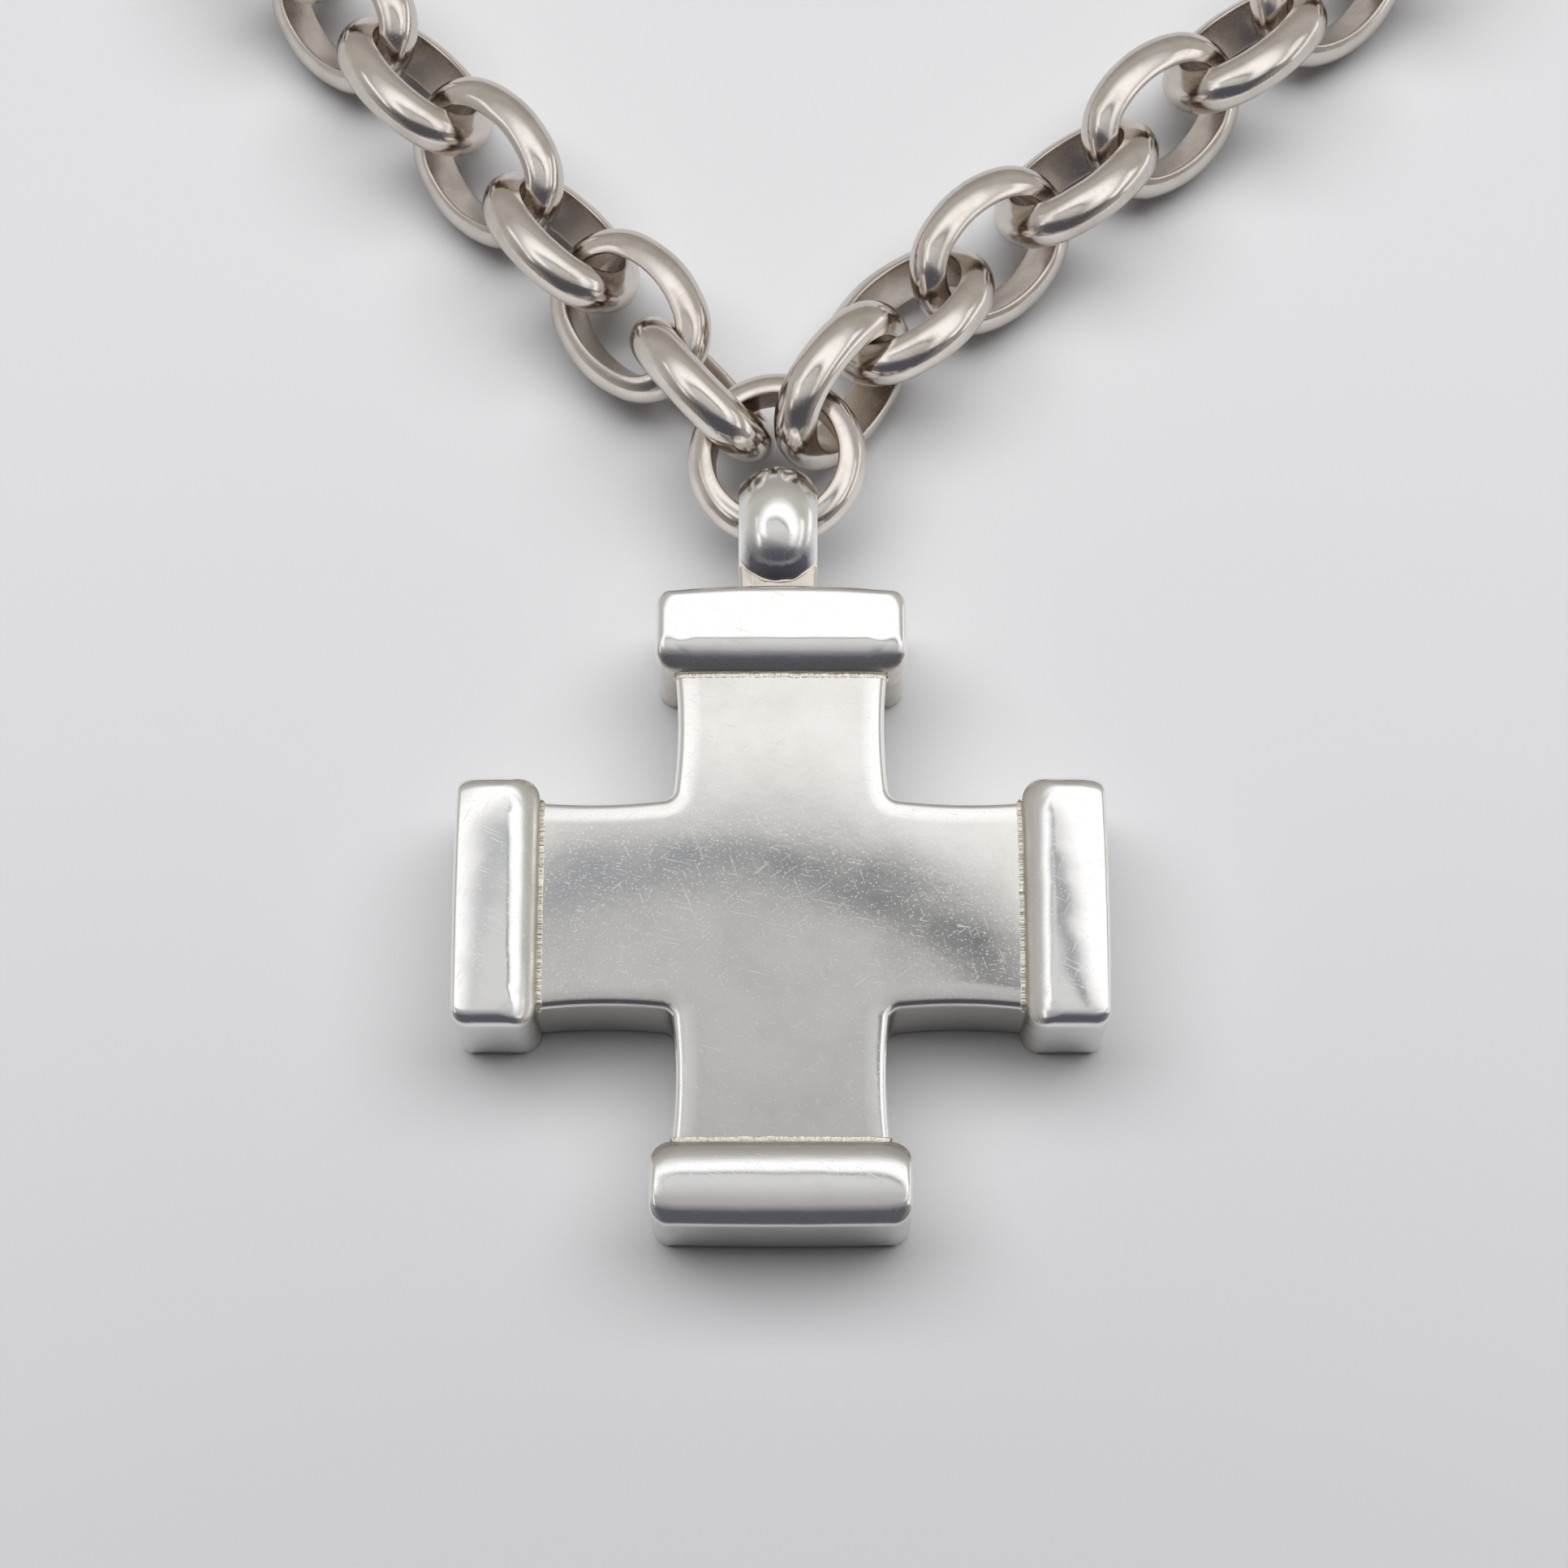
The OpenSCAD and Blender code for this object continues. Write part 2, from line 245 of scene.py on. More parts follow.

# Worn silver of the plate: the same metal, dulled by wear, so reflections are soft and mottled; its rims are near
# white, worn and partly a painted highlight
plateSilver = silver("wornSilverPlate", {
    "colour": "DDDBD7", "stainColour": "C0BDB6", "patchSize": 4.0,
    "stainFrom": 0.42, "stainTo": 0.8, "stainMost": 0.4, "roughness": (0.1, 0.16),
    "scratches": [(12, 2.5, 0.06, 0.79), (-38, 2.0, 0.06, 0.8), (70, 2.2, 0.06, 0.79), (0, 0.13, 0.11, 0.715)],
    "dimpleSize": 1.1, "dimpleDepth": 0.0035, "grainSize": 0.28, "grainDepth": 0.0014,
    "scratchDepth": 0.0018, "scratchRoughness": 0.08, "rubbed": "FBFAF8"})

# Satin silver of the neck: left by the file and the soldering, so it is dull and a little beige
neckSilver = silver("satinSilverNeck", {
    "colour": "DCD4C8", "stainColour": "AD9C86", "patchSize": 1.2,
    "stainFrom": 0.5, "stainTo": 0.85, "stainMost": 0.45, "roughness": (0.26, 0.36),
    "scratches": [(85, 1.5, 0.07, 0.7), (95, 1.0, 0.06, 0.72)],
    "dimpleSize": 0.9, "dimpleDepth": 0.010, "grainSize": 0.2, "grainDepth": 0.003,
    "scratchDepth": 0.003, "scratchRoughness": 0.08})

# Silver of the chain: bright on the domes, with brownish tarnish where links rub and rest
chainSilver = silver("polishedSilverChain", {
    "colour": "E6DFD8", "stainColour": "AA9279", "patchSize": 2.5, "sheltered": 0.8,
    "stainFrom": 0.46, "stainTo": 0.85, "stainMost": 0.42, "roughness": (0.11, 0.19),
    "scratches": [(40, 2.5, 0.08, 0.76), (-40, 2.5, 0.08, 0.76)],
    "dimpleSize": 2.2, "dimpleDepth": 0.008, "grainSize": 0.3, "grainDepth": 0.0015,
    "scratchDepth": 0.002, "scratchRoughness": 0.1})

# Pale yellow solder of the hand-made joints: granular and satin, so it gathers light from all round
solder = silver("yellowSolder", {
    "colour": "FFFBEE", "stainColour": "E3D9BE", "patchSize": 0.3,
    "stainFrom": 0.55, "stainTo": 0.75, "stainMost": 0.35, "roughness": (0.22, 0.32),
    "scratches": [(0, 0.1, 0.12, 0.6)], "dimpleSize": 0.5, "dimpleDepth": 0.008,
    "grainSize": 0.2, "grainDepth": 0.006, "scratchDepth": 0.006, "scratchRoughness": 0.1})
print("materials ready")


# Cross pendant

# A piece of the cross from a grid of points whose columns close on themselves
def crossPiece(name, grid, material, smoothAngle, **measures):
    rows, cols = grid.shape[:2]
    faces = gridFaces(rows, cols, False, True)
    piece = newPiece(name, grid.reshape(-1, 3), faces, material, smoothAngle, **measures)
    finishPiece(piece, "cross_pendant")


cross = {
    "reach": 15.3,           # plate runs under the caps to here
    "seam": 14.93,           # inner sides of the caps
    "halfArm": 6.63,
    "waist": 0.2,            # how far an arm's sides draw in
    "corner": 0.75,
    "face": 7.05,
    "crown": 0.55,
    "rimWidth": 1.35,        # soft edge of the face
    "rimDrop": 0.16,
    "edgeRadius": 0.42,
    "wallDrop": 0.8,         # from the face to the wall's last row
    "foot": 0.15,            # slanted edge at the back
    "unevenness": 0.010,
}


# A sphere's cap over the face: height = top - radius + sqrt(radius squared - x squared - y squared)
def crownHeight(x, y):
    radius = (cross["seam"] ** 2 + cross["crown"] ** 2) / (2 * cross["crown"])
    return cross["face"] + cross["crown"] - radius + np.sqrt(radius ** 2 - x ** 2 - y ** 2)


# How far the face falls at a distance from its edge: a parabola over the rim, then a quarter circle
def rimFall(distance):
    slope = np.clip(1 - distance / cross["rimWidth"], 0, 1)
    edge = np.clip(1 - distance / cross["edgeRadius"], 0, 1)
    return cross["rimDrop"] * slope ** 2 + cross["edgeRadius"] * (1 - np.sqrt(1 - edge ** 2))


# Half an arm's outline from its end to the middle of the inner corner, as points and outward normals:
# a shallow arc that draws in by the waist, then a quarter circle round the corner
def armSide(samples):
    half, fillet = cross["halfArm"], cross["corner"]
    chord = cross["seam"] - half - fillet
    radius = (chord ** 2 / 4 + cross["waist"] ** 2) / (2 * cross["waist"])
    y = np.linspace(cross["reach"], half + fillet, samples)
    middle = half + fillet + chord / 2
    off = np.clip(y - middle, -chord / 2, chord / 2)
    dip = np.sqrt(radius ** 2 - off ** 2) - (radius - cross["waist"])
    slope = off / radius
    turn = np.linspace(0, math.pi / 4, 9)[1:]
    sideNormals = np.stack([np.cos(slope), -np.sin(slope)], -1)
    cornerPoints = np.stack([half + fillet - fillet * np.cos(turn), half + fillet - fillet * np.sin(turn)], -1)
    cornerNormals = np.stack([np.cos(turn), np.sin(turn)], -1)
    return (np.concatenate([np.stack([half - dip, y], -1), cornerPoints]),
            np.concatenate([sideNormals, cornerNormals]))


# The plate, one quarter at a time: rows go from the outline inwards to the arms' middle lines,
# the height is the crown's sphere less a rounded drop at the rim, and a wall closes it down to the back
def plateGrid():
    side, normals = armSide(60)
    mirrored = side[::-1, ::-1][1:]
    outline = np.concatenate([side, mirrored])
    outward = np.concatenate([normals, normals[::-1, ::-1][1:]])
    low = side[-1, 1]
    spine = np.concatenate([np.stack([0 * side[:, 1], side[:, 1] - low], -1),
                            np.stack([mirrored[:, 0] - low, 0 * mirrored[:, 0]], -1)])
    spine *= cross["reach"] / (cross["reach"] - low)
    wide = cross["rimWidth"]
    # rows stand closer together over the rounded edge
    insets = np.concatenate([[0, 0.01, 0.03, 0.06, 0.1, 0.15, 0.21, 0.28, 0.35, 0.42], np.linspace(0.5, wide, 12)])
    part = np.linspace(0, 1, 36)[1:, None, None]
    xy = np.concatenate([outline - outward * insets[:, None, None],
                         (outline - outward * wide) * (1 - part) + spine * part])
    fall = rimFall(np.concatenate([insets, np.full(len(part), wide)]))
    top = np.dstack([xy, crownHeight(xy[..., 0], xy[..., 1]) - fall[:, None]])
    wall = [np.column_stack([outline, np.full(len(outline), z)])
            for z in np.linspace(cross["foot"], cross["face"] - cross["wallDrop"], 12)]
    foot = outline - outward * cross["foot"]
    back = [np.column_stack([foot * (1 - part) + spine * part, np.zeros(len(foot))])
            for part in (1.0, 0.75, 0.5, 0.25, 0.0)]
    rubbed = np.zeros(len(back) + len(wall) + len(top))
    # the rim is bright from wear and partly a painted highlight, fading inwards
    rubbed[len(back) + len(wall):][:len(insets)] = np.clip(1.15 - insets / wide, 0, 1)
    return np.concatenate([back, wall, top]), rubbed, outward


# Four quarters of the plate, turned into place and lifted by the unevenness of the face
def buildPlate():
    quarter, rubbed, outward = plateGrid()
    rows, cols = quarter.shape[:2]
    points, faces, bright = [], [], []
    for turns in range(4):
        turn = quarterTurn(turns)
        points.append(quarter.reshape(-1, 3) @ turn)
        faces.append(gridFaces(rows, cols, start=turns * rows * cols))
        # rims are bright from wear and partly a painted highlight; rims that face away from the bail and the light
        # are rubbed least
        facing = (outward @ turn[:2, :2])[:, 1]
        bright.append(np.outer(rubbed, np.clip(1 + 1.2 * facing, 0, 1)).ravel())
    points = np.concatenate(points)
    lift = unevenness(points, 11, 5.0) * cross["unevenness"] * (points[:, 2] > 6.5)   # the face only
    points[:, 2] += lift
    piece = newPiece("crossPlate", points, np.concatenate(faces), plateSilver, 50, rubbed=np.concatenate(bright))
    finishPiece(piece, "cross_pendant")


# Shape of each cap: corners are the outer and inner corners' radii seen from above; swell is how much the top
# falls to its long sides and to its ends, and how far out its crest lies; outer, inner and ends are the
# roundings, as how far they reach inwards, how far down, and a power (2 an ellipse, 1 a plane)
cap = {
    "length": 15.8,
    "width": 5.07,
    "height": 8.4,
    "foot": 0.12,            # slanted edge at the back
    "widening": 0.35,        # of the corners, for each millimetre inwards
    "unevenness": 0.007,
    "tarnishReach": 0.75,    # from the seam
    "Top": {"swell": (0.05, 0.05, 0), "outer": (0.5, 0.5, 2.0), "inner": (1.9, 1.22, 1.6),
            "ends": (0.75, 0.75, 2.0), "bow": 0.4, "corners": (0.8, 1.35)},
    "Bottom": {"swell": (0.74, 0.34, 0.25), "outer": (1.2, 0.5, 2.0), "inner": (1.0, 0.35, 2.0),
               "ends": (0.4, 0.4, 2.0), "bow": 0.12, "corners": (1.2, 1.35)},
    "Left": {"swell": (0.24, 0.24, 0), "outer": (0.28, 0.35, 2.0), "inner": (1.9, 0.95, 1.5),
             "ends": (0.9, 0.8, 2.0), "bow": 0.1, "corners": (0.9, 1.3)},
    "Right": {"swell": (0.26, 0.24, 0), "outer": (0.28, 0.35, 2.0), "inner": (1.85, 0.95, 1.5),
              "ends": (0.9, 0.8, 2.0), "bow": 0.1, "corners": (0.9, 1.3)},
}


# Rounded rectangle a step inside the cap's outline, with its outward directions. The corners widen inwards
def capRing(corners, step):
    perCorner, perSide, perEnd = 13, 86, 26
    a, b = cap["length"] / 2 - step, cap["width"] / 2 - step
    radii = [min(corners[k] + cap["widening"] * step, b) for k in (0, 0, 1, 1)]
    signs = np.array([(1, 1), (-1, 1), (-1, -1), (1, -1)])
    turn = np.linspace(0, math.pi / 2, perCorner)
    points, normals = [], []
    for k in range(4):
        angle = turn + k * math.pi / 2
        outward = np.stack([np.cos(angle), np.sin(angle)], -1)
        corner, nextCorner = (signs[n] * (a - radii[n], b - radii[n]) for n in (k, (k + 1) % 4))
        points.append(corner + radii[k] * outward)
        normals.append(outward)
        part = np.linspace(0, 1, perSide if k % 2 == 0 else perEnd)[1:-1, None]
        points.append(points[-1][-1] * (1 - part) + (nextCorner + radii[(k + 1) % 4] * outward[-1]) * part)
        normals.append(np.broadcast_to(outward[-1], (len(part), 2)))
    return np.concatenate(points), np.concatenate(normals)


# A cap: rings one inside another. Height = top - swells (square across, seventh power along) - the edge's
# rounding, a superellipse whose reach, depth and power follow the ring's outward direction
def capGrid(side, seed):
    shape = cap[side]
    long, wide, high, foot = cap["length"] / 2, cap["width"] / 2, cap["height"], cap["foot"]
    insets = np.concatenate([[0], np.geomspace(0.01, 0.6, 18), np.linspace(0.68, wide, 28)])

    def ringAt(step):
        xy, outward = capRing(shape["corners"], step)
        outer, inner = np.clip(outward[:, 1], 0, 1) ** 2, np.clip(-outward[:, 1], 0, 1) ** 2
        ends = outward[:, 0] ** 2
        reach, depth, power = (outer * o + inner * i + ends * e
                               for o, i, e in zip(shape["outer"], shape["inner"], shape["ends"]))
        part = np.clip(1 - step / reach, 0, 1)
        fall = depth * (1 - (1 - part ** power) ** (1 / power))
        across, along, crest = shape["swell"]
        fall = fall + across * ((xy[:, 1] - crest) / wide) ** 2 + along * np.abs(xy[:, 0] / long) ** 7
        # the outer side bows out a little
        xy[:, 1] += shape["bow"] * (1 - (xy[:, 0] / long) ** 2) * np.clip(xy[:, 1] / wide, 0, 1)
        return np.column_stack([xy, high - fall])

    top = np.array([ringAt(step) for step in insets])
    outline, onBack = top[0], (1, 1, 0)
    low = outline * onBack + (0, 0, foot)
    part = np.linspace(0, 1, 12)[1:-1, None, None]
    wall = low + part * (outline[:, 2:] - foot) * (0, 0, 1)
    points = np.concatenate([[ringAt(wide) * onBack, ringAt(foot) * onBack, low], wall, top])
    wallStart, topStart = 3, 3 + len(wall)
    step = np.concatenate([np.zeros(topStart), insets])
    outward = capRing(shape["corners"], 0)[1]
    # unevenness lifts the top and moves the walls in and out, less towards the foot and over the edge
    lift = unevenness(points, seed, 3.0) * cap["unevenness"]
    points[topStart:, :, 2] += lift[topStart:]
    aside = outward * (lift[topStart] * np.clip(points[wallStart:, :, 2] / 2, 0, 1))[..., None]
    points[wallStart:, :, :2] += aside * np.clip(1 - step[wallStart:] / 0.6, 0, 1)[:, None, None]
    points[..., 1] += cross["seam"] + wide
    # dull tarnish gathers along the seam
    near = np.clip(-outward[:, 1], 0, 1)
    return points, np.outer(np.clip(1 - step / cap["tarnishReach"], 0, 1), near)


# Each cap is worked out beyond the top arm, and turned to its own
def buildCap(side, turns, seed):
    grid, shelter = capGrid(side, seed)
    crossPiece("endCap" + side, grid @ quarterTurn(turns), capSilver, 50, shelter=shelter)


seam = {
    "width": 0.38,
    "height": 0.05,
    "inset": 0.16,           # of the bead's middle from the cap's side
    "sides": (6.7, 6.0),     # heights between which it runs down the arm's sides
    "waver": 0.025,
    "marks": 0.7,            # how much fine cross marks vary the bead's height
    "spacing": 0.033,        # between the points along it
    "facePoints": 420,
    "sidePoints": 40,
    "aroundPoints": 16,
}


# A thin bead along each seam: half an ellipse carried along a slightly wavering line over the face
# and down both sides
def buildSeam(side, turns, seed):
    rng = np.random.default_rng(seed)
    half = cross["halfArm"] + 0.02
    facePoints, sidePoints = seam["facePoints"], seam["sidePoints"]
    across = np.linspace(-half, half, facePoints)
    down = np.linspace(*seam["sides"], sidePoints)
    x = np.concatenate([np.full(sidePoints, -half), across, np.full(sidePoints, half)])
    level = crownHeight(across, cross["seam"]) - rimFall(half - np.abs(across))
    z = np.concatenate([down[::-1], level, down])
    travel = np.arange(len(x)) * seam["spacing"]
    waver = seam["waver"] * sum(np.sin(travel * rng.uniform(0.6, 5) + rng.uniform(0, 6)) for _ in range(5)) / 2.5
    y = cross["seam"] - seam["inset"] + waver
    outwardX = np.repeat([-1.0, 0.0, 1.0], [sidePoints, facePoints, sidePoints])
    outwardZ = 1 - np.abs(outwardX)
    swell = 1 + 0.25 * np.sin(travel * 9 + rng.uniform(0, 6)) * np.sin(travel * 3.1)
    swell += seam["marks"] * rng.uniform(-1, 1, len(x)) * (rng.uniform(0, 1, len(x)) > 0.35)
    angle = np.linspace(0, 2 * math.pi, seam["aroundPoints"], endpoint=False)
    along = np.outer(1 - 0.6 * np.abs(outwardX), np.cos(angle) * seam["width"] / 2)
    rise = np.outer(swell, np.sin(angle) * seam["height"])
    grid = np.stack([x[:, None] + rise * outwardX[:, None], y[:, None] + along,
                     z[:, None] + rise * outwardZ[:, None]], -1)
    crossPiece("capSeam" + side, grid @ quarterTurn(turns), solder, 60)


# Bail, ring and chain are half-round bars carried round a closed path

# Half-round section: a dome from edge to edge, short flanks, rounded rims and a flat inside.
# Gives how far each point lies in from the crown, and its height along the axis
def halfRound(wall, width, dome, rim, domePoints, flatPoints=9):
    half = width / 2
    radius = (dome ** 2 + half ** 2) / (2 * dome)
    reach = math.asin(min(half / radius, 1))
    turn = np.linspace(-reach, reach, domePoints)
    inset = [radius - radius * np.cos(turn)]
    height = [radius * np.sin(turn)]
    bend = np.linspace(0, math.pi / 2, 6)
    inset += [wall - rim + rim * np.sin(bend), np.full(flatPoints, wall), wall - rim + rim * np.cos(bend)]
    height += [half - rim + rim * np.cos(bend), np.linspace(half - rim, rim - half, flatPoints + 2)[1:-1],
               -(half - rim + rim * np.sin(bend))]
    return np.concatenate(inset), np.concatenate(height)


# Four-centre oval with half axes a, b and end radius r: each point is an arc's centre plus its radius
# along the outward direction. Long axis Y, width X
def ovalBar(a, b, r, profile, stations):
    inset, height = profile
    longRadius = ((a - r) ** 2 + b * b - r * r) / (2 * (b - r)) if b - r > 1e-6 else r
    join = math.atan2(longRadius - b, a - r) if b - r > 1e-6 else math.pi
    turn = np.linspace(0, 2 * math.pi, stations, endpoint=False)
    cos, sin = np.cos(turn), np.sin(turn)
    end = np.arctan2(np.abs(sin), np.abs(cos)) <= join
    reach = np.where(end, r, longRadius)[:, None] - inset[None, :]
    y = np.sign(cos)[:, None] * np.where(end, a - r, 0.0)[:, None] + reach * cos[:, None]
    x = np.sign(sin)[:, None] * np.where(end, 0.0, b - longRadius)[:, None] + reach * sin[:, None]
    return np.stack([x, y, np.broadcast_to(height, x.shape)], -1)


# Adds hand-made unevenness along the surface's normals
def roughenBar(grid, seed, amount, size):
    return grid + gridNormals(grid) * (unevenness(grid, seed, size) * amount)[..., None]


# How sheltered each point of a bar is: one on the flat inside, falling to none on the dome
def shelterOf(profile, wall, stations):
    inside = np.clip((profile[0] - wall * 0.8) / (wall * 0.2), 0, 1)
    return np.broadcast_to(inside, (stations, len(inside)))


# One piece from closed bars, each a shell of its own
def barPiece(name, grids, shelter, material, node):
    points, faces, start = [], [], 0
    for grid in grids:
        rows, cols = grid.shape[:2]
        points.append(grid.reshape(-1, 3))
        faces.append(gridFaces(rows, cols, True, True, start))
        start += rows * cols
    piece = newPiece(name, np.concatenate(points), np.concatenate(faces), material, 60,
                     shelter=np.concatenate([part.ravel() for part in shelter]))
    finishPiece(piece, node)


bail = {
    "radius": 4.4,
    "width": 5.0,
    "wall": 1.65,
    "dome": 1.35,
    "rim": 0.18,
    "middle": (-0.2, 25.2, 4.4),
    "unevenness": 0.012,
    "domePoints": 48,
    "stations": 180,
    "darkPatch": (2.3, 2.0, 1.75),     # half width, foot and height of the patch, from the bail's middle
    "darkPatchFade": 0.32,
}


# The bail: a half-round bar round a circle, stood up so that its axis runs along X
def buildBail():
    radius, middle = bail["radius"], np.array(bail["middle"])
    profile = halfRound(bail["wall"], bail["width"], bail["dome"], bail["rim"], bail["domePoints"])
    grid = roughenBar(ovalBar(radius, radius, radius, profile, bail["stations"]), 21, bail["unevenness"], 4.0)
    grid = np.stack([grid[..., 2], grid[..., 1], -grid[..., 0]], -1) + middle
    # dark patch low on the front, in the corner over the neck, partly tarnish and partly a painted dark reflection:
    # with round corners, its edge is where the fourth powers of x and z add up to one, and it is thinner in the
    # middle of its top
    x, y, z = np.moveaxis(grid - middle, -1, 0)
    halfWidth, foot, height = bail["darkPatch"]
    out = ((x / halfWidth) ** 4 + (np.clip(z - foot, 0, None) / height) ** 4) ** 0.25
    corner = np.clip((1.05 - out) / bail["darkPatchFade"], 0, 1) * (y < -1.0) * (z > 1.2)
    corner *= 1 - 0.6 * np.clip((1.9 - np.abs(x)) / 0.7, 0, 1) * np.clip((z - 2.85) / 0.3, 0, 1)
    barPiece("bail", [grid], [corner], bailSilver, "cross_pendant")


neck = {
    "start": 19.6,           # in the cap's wall
    "length": 2.7,
    "halfWidth": 2.5,
    "top": 6.4,
    "bottom": 1.5,
    "flare": 0.25,
    "squareness": 0.12,      # power of the section's cosine and sine
    "rows": 24,
    "aroundPoints": 64,
}


# The neck: a rounded block carried from the cap's wall into the bail, flared at both ends
def buildNeck():
    along = np.linspace(0, 1, neck["rows"])
    y = neck["start"] + along * neck["length"]
    flare = neck["flare"] * (2 * np.abs(along - 0.45)) ** 2
    half = neck["halfWidth"] - 0.03 + 0.2 * flare
    tall = (neck["top"] - neck["bottom"]) / 2 + 0.3 * flare * (along < 0.45)
    middle = (neck["top"] + neck["bottom"]) / 2
    angle = np.linspace(0, 2 * math.pi, neck["aroundPoints"], endpoint=False)
    x, z = (np.sign(part) * np.abs(part) ** neck["squareness"] for part in (np.cos(angle), np.sin(angle)))
    grid = np.stack([bail["middle"][0] + half[:, None] * x, np.broadcast_to(y[:, None], (len(y), len(x))),
                     middle + tall[:, None] * z], -1)
    crossPiece("bailNeck", grid, neckSilver, 50)


# Radius of the bail's dome at a place across it: crown radius less the fall of the dome's own arc
def domeRadius(x):
    half = bail["width"] / 2
    curve = (bail["dome"] ** 2 + half ** 2) / (2 * bail["dome"])
    return bail["radius"] - (curve - np.sqrt(curve ** 2 - x ** 2))


bailSolder = {
    "halfLength": 2.46,
    "radius": 0.11,
    "waver": 0.02,
    "points": 120,
    "aroundPoints": 14,
}


# The solder line where the neck's flat top meets the bail's dome: a thin round bead that follows
# y = middle - sqrt(dome radius squared - height squared), a little uneven
def buildBailSolder():
    rng = np.random.default_rng(5)
    x = np.linspace(-bailSolder["halfLength"], bailSolder["halfLength"], bailSolder["points"])
    rise = neck["top"] - bail["middle"][2]
    waver = sum(np.sin(x * rng.uniform(1.5, 7) + rng.uniform(0, 6)) for _ in range(4)) * bailSolder["waver"]
    y = bail["middle"][1] - np.sqrt(domeRadius(x) ** 2 - rise ** 2) + waver - 0.03
    angle = np.linspace(0, 2 * math.pi, bailSolder["aroundPoints"], endpoint=False)
    size = bailSolder["radius"] + 0.03 * np.sin(x * 5)
    grid = np.stack([np.broadcast_to((x + bail["middle"][0])[:, None], (len(x), len(angle))),
                     y[:, None] + size[:, None] * np.cos(angle), neck["top"] + size[:, None] * np.sin(angle)], -1)
    crossPiece("bailSolder", grid, solder, 60)


buildPlate()
for number, side in enumerate(["Top", "Left", "Bottom", "Right"]):
    buildCap(side, number, 31 + number)
    buildSeam(side, number, 41 + number)
buildBail()
buildNeck()
buildBailSolder()
print("cross pendant built")

ring = {
    "radius": 5.8,
    "barWidth": 2.8,
    "wall": 1.75,
    "rim": 0.16,
    "place": ((-0.27, 30.3, 4.66), 0, 4, -4.2),      # middle, heading, tilt and roll
    "unevenness": 0.012,
    "domePoints": 40,
    "stations": 200,
}


# The connector ring: a half-round bar round a circle, lying a little tilted in the bail
def buildRing():
    radius, stations = ring["radius"], ring["stations"]
    profile = halfRound(ring["wall"], ring["barWidth"], ring["barWidth"] / 2, ring["rim"], ring["domePoints"])
    grid = roughenBar(ovalBar(radius, radius, radius, profile, stations), 22, ring["unevenness"], 2.5)
    barPiece("connectorRing", [placed(grid, ring["place"])], [shelterOf(profile, ring["wall"], stations)],
             chainSilver, "connector_ring")


buildRing()
print("connector ring built")

chain = {
    "length": 12.3, "width": 10.0, "barWidth": 3.1, "wall": 1.75, "endRadius": 4.7, "rim": 0.16,
    "perSide": 28, "ownLinks": 20, "runLinks": 4, "straightLinks": 9,
    "pitch": 7.6, "bendPitch": 7.45, "runPitch": 7.95, "height": 4.2, "roll": 45,
    "leftHeading": -41.0, "rightHeading": 49.5,
    "unevenness": 0.012,
    "fineLinks": 7,                  # links on each side with the fine mesh
    "fineMesh": (36, 9, 160),        # points over the dome, on the flat inside, and stations round the link
    "plainMesh": (16, 3, 72),
}
# Middle, heading, tilt and roll of the first three links of each side
nearLinks = {
    "l": [((-5.13, 35.15, 4.83), -40, -2.15, 68.5), ((-9.88, 40.6, 4.31), -39.8, -1, -31.9),
          ((-14.5, 46, 4.2), -41, 0, 46)],
    "r": [((4, 35.4, 4.88), 37.2, -2, 69.8), ((8.42, 40.7, 4.25), 48, 0, -33.6),
          ((13.75, 45.35, 4.2), 47.6, 0, 45)],
}
clasp = {
    "diameter": 6.4,
    "length": 8.0,
    "dome": 1.2,
    "eyeRadius": 3.4,
    "wire": 1.8,
    "stand": 0.8,            # of the eyes' middles from the barrel, past their radius
    "slack": 0.5,            # to each last link
    "aroundPoints": 72,
    "wirePoints": 24,
}


# How far the k-th link's middle lies along the chain from the third's
def wayTo(k):
    own, step, way = chain["ownLinks"], chain["runLinks"], 0
    for number in range(4, k + 1):
        if number > own + 1 and (number - own - 1) % step != 0:
            way += chain["runPitch"]
        elif number > chain["straightLinks"]:
            way += chain["bendPitch"]
        else:
            way += chain["pitch"]
    return way


# Unit directions on the surface: ahead is (sin, cos) of a heading, which turns from +Y to +X, and its right
# side (cos, -sin)
def towards(heading):
    return np.array([math.sin(math.radians(heading)), math.cos(math.radians(heading))])


def sideOf(heading):
    return np.array([math.cos(math.radians(heading)), -math.sin(math.radians(heading))])


# The laid loop: two straight sides from an apex, closed by one arc. The arc's radius follows from the
# loop's whole length: length = 2 radius / tan(half angle) + radius * arc angle
left, right = chain["leftHeading"], chain["rightHeading"]
halfAngle = math.radians((right - left) / 2)
leftStart, rightStart = (np.array(nearLinks[s][2][0][:2]) for s in "lr")
back = abs((rightStart - leftStart) @ sideOf(right) / math.sin(2 * halfAngle))
apex = leftStart - towards(left) * back
leftLead, rightLead = np.linalg.norm(leftStart - apex), np.linalg.norm(rightStart - apex)
claspEye = clasp["length"] / 2 + clasp["eyeRadius"] + clasp["stand"]
eyeSeat = math.sqrt((clasp["eyeRadius"] - clasp["wire"] / 2) ** 2 - chain["barWidth"] ** 2 / 4)
claspSpan = 2 * (claspEye + eyeSeat + chain["length"] / 2 - chain["wall"] - clasp["slack"])
loopLength = leftLead + rightLead + 2 * wayTo(chain["perSide"]) + claspSpan
loopRadius = loopLength / (2 / math.tan(halfAngle) + math.pi + 2 * halfAngle)
tangent = loopRadius / math.tan(halfAngle)
arcCentre = apex + towards(left) * tangent + sideOf(left) * loopRadius


# Middle and heading at a distance along the loop from the apex, up the left side
def onLoop(distance):
    if distance < tangent:
        return apex + towards(left) * distance, left
    if distance > loopLength - tangent:
        return apex + towards(right) * (loopLength - distance), right + 180
    heading = left + math.degrees((distance - tangent) / loopRadius)
    return arcCentre - sideOf(heading) * loopRadius, heading


